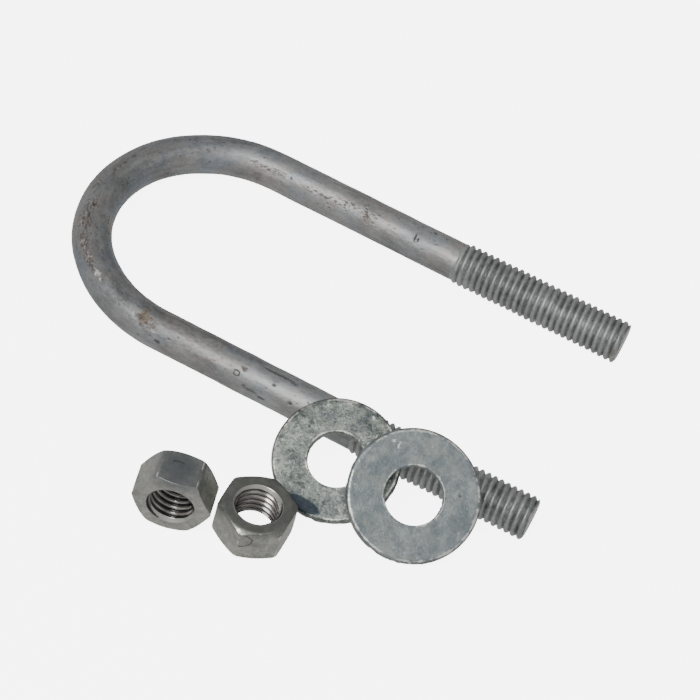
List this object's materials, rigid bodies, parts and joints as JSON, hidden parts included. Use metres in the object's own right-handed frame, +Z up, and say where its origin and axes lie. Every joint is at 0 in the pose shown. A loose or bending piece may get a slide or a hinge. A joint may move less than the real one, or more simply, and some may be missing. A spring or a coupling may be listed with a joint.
{
  "type": "u-bolt",
  "caption": "Round-bend U-bolt of galvanised steel with threaded legs, lying flat with its loose flat washers leaning on one leg and its hex nuts beside it.",
  "frame": {"origin": "middle of the whole row at the level it rests on", "axes": "+X along the legs towards the threaded tips, +Y from the near leg to the far leg, +Z up"},
  "size_m": [0.1564, 0.1358, 0.0211],
  "materials": {
    "rod_zinc": "dull hot-dip zinc",
    "washer_zinc_1": "mottled hot-dip zinc",
    "washer_zinc_2": "smooth hot-dip zinc",
    "nut_zinc": "dark satin zinc with bare steel thread"
  },
  "bodies": {
    "u_bolt_rod": {"u_bolt_rod": "rod_zinc"},
    "flat_washer_1": {"flat_washer_1": "washer_zinc_1"},
    "flat_washer_2": {"flat_washer_2": "washer_zinc_2"},
    "hex_nut_1": {"hex_nut_1": "nut_zinc"},
    "hex_nut_2": {"hex_nut_2": "nut_zinc"}
  },
  "joints": [
    {"name": "washer_1_off", "type": "slide", "parent": "u_bolt_rod", "child": "flat_washer_1", "axis": [0, 0, 1], "range_m": [0, 0.0526]},
    {"name": "washer_2_off", "type": "slide", "parent": "flat_washer_1", "child": "flat_washer_2", "axis": [0.2026, -0.4759, 0.8558], "range_m": [0, 0.0526]},
    {"name": "nut_1_off", "type": "slide", "parent": "u_bolt_rod", "child": "hex_nut_1", "axis": [0.2453, -0.9694, 0], "range_m": [0, 0.0526]},
    {"name": "nut_2_off", "type": "slide", "parent": "u_bolt_rod", "child": "hex_nut_2", "axis": [0, 0, 1], "range_m": [0, 0.0526]}
  ]
}
